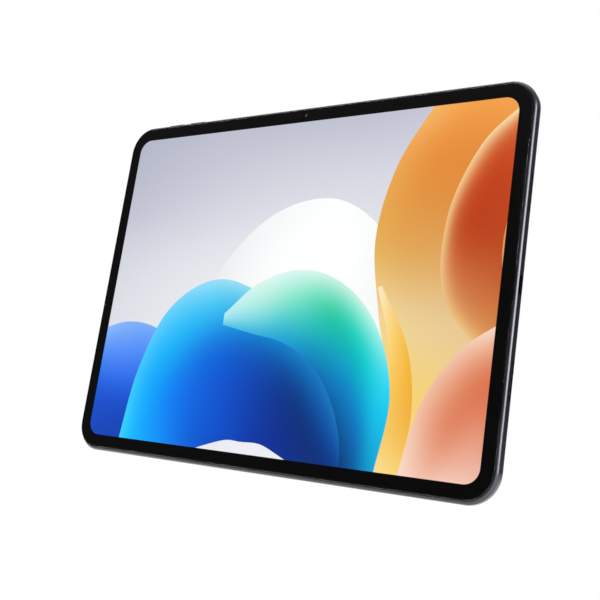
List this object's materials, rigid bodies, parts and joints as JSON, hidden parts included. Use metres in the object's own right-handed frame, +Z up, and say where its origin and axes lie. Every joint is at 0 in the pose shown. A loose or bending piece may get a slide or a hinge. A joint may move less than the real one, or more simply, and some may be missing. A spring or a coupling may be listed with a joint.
{
  "type": "tablet computer",
  "caption": "Slim tablet computer with a bordered flat display, rounded aluminium housing, side buttons, speakers, card tray, rear camera and a full set of inner parts.",
  "frame": {"origin": "middle of the bottom of the bounding box, with the tablet upright on its long lower edge", "axes": "+X to the right along the long side as seen by someone facing the display, +Z up along the short side, +Y out of the back; the display faces -Y"},
  "size_m": [0.257, 0.0078, 0.1884],
  "materials": {
    "housing_aluminium": "fine blasted and anodised dark grey",
    "cover_glass": "clear, polished edge, oil-repellent front",
    "border_ink": "black print on the back of the glass",
    "gasket": "matt black",
    "display": "lit picture behind polarising film",
    "backlight_film": "white reflector film",
    "steel": "stamped sheet",
    "screws": "blackened steel",
    "circuit_board": "solder mask over glass laminate",
    "chips": "moulded epoxy",
    "flex": "polyimide film over copper",
    "battery": "laminated pouch film",
    "adhesive": "stretch-release strips",
    "graphite": "graphite foil",
    "black_plastic": "moulded",
    "antenna_fill": "moulded nylon, blasted with the housing",
    "mesh": "etched mesh",
    "switches": "snap domes",
    "keys": "anodised dark grey, polished edge",
    "camera_ring": "anodised, turned",
    "camera_glass": "coated lens cover"
  },
  "bodies": {
    "tablet": {"rear_housing": "housing_aluminium", "cover_glass": "cover_glass", "border_ink": "border_ink", "glass_gasket": "gasket", "display_tape": "gasket", "display_panel": "display", "display_driver_strip": "circuit_board", "backlight": "backlight_film", "support_plate": "steel", "graphite_sheet": "graphite", "main_board": "circuit_board", "processor": "chips", "memory_chip": "chips", "power_chip": "chips", "wireless_chip": "chips", "shield_can_upper": "steel", "shield_can_lower": "steel", "board_screws": "screws", "plate_screws": "screws", "battery_cell_left": "battery", "battery_cell_right": "battery", "battery_guard_board": "circuit_board", "battery_tapes": "adhesive", "battery_flex": "flex", "display_flex": "flex", "port_board": "circuit_board", "port_flex": "flex", "port_shell": "steel", "port_tongue": "black_plastic", "port_screws": "screws", "speaker_left_upper": "black_plastic", "speaker_left_lower": "black_plastic", "speaker_right_upper": "black_plastic", "speaker_right_lower": "black_plastic", "speaker_meshes": "mesh", "volume_key_board": "circuit_board", "volume_switches": "switches", "power_key_board": "circuit_board", "power_switch": "switches", "card_reader": "steel", "microphones": "steel", "rear_camera_ring": "camera_ring", "rear_camera_glass": "camera_glass", "rear_camera_module": "black_plastic", "rear_camera_flex": "flex", "front_camera_module": "black_plastic", "light_sensor": "chips", "sensor_flex": "flex", "antenna_fill_left": "antenna_fill", "antenna_fill_right": "antenna_fill", "antenna_left": "flex", "antenna_right": "flex", "antenna_leads": "black_plastic"},
    "volume_up_key": {"volume_up_button": "keys"},
    "volume_down_key": {"volume_down_button": "keys"},
    "power_key": {"power_button": "keys"},
    "tray": {"card_tray": "keys"},
    "focus_barrel": {"rear_camera_barrel": "black_plastic"}
  },
  "joints": [
    {"name": "volume_up_press", "type": "slide", "parent": "tablet", "child": "volume_up_key", "axis": [0, 0, -1], "range_m": [0, 0.00035], "stiffness_N_per_m": 4500},
    {"name": "volume_down_press", "type": "slide", "parent": "tablet", "child": "volume_down_key", "axis": [0, 0, -1], "range_m": [0, 0.00035], "stiffness_N_per_m": 4500},
    {"name": "power_press", "type": "slide", "parent": "tablet", "child": "power_key", "axis": [1, 0, 0], "range_m": [0, 0.00035], "stiffness_N_per_m": 4500},
    {"name": "tray_slide", "type": "slide", "parent": "tablet", "child": "tray", "axis": [1, 0, 0], "range_m": [0, 0.015]},
    {"name": "focus_slide", "type": "slide", "parent": "tablet", "child": "focus_barrel", "axis": [0, 1, 0], "range_m": [0, 0.00025], "stiffness_N_per_m": 30}
  ]
}
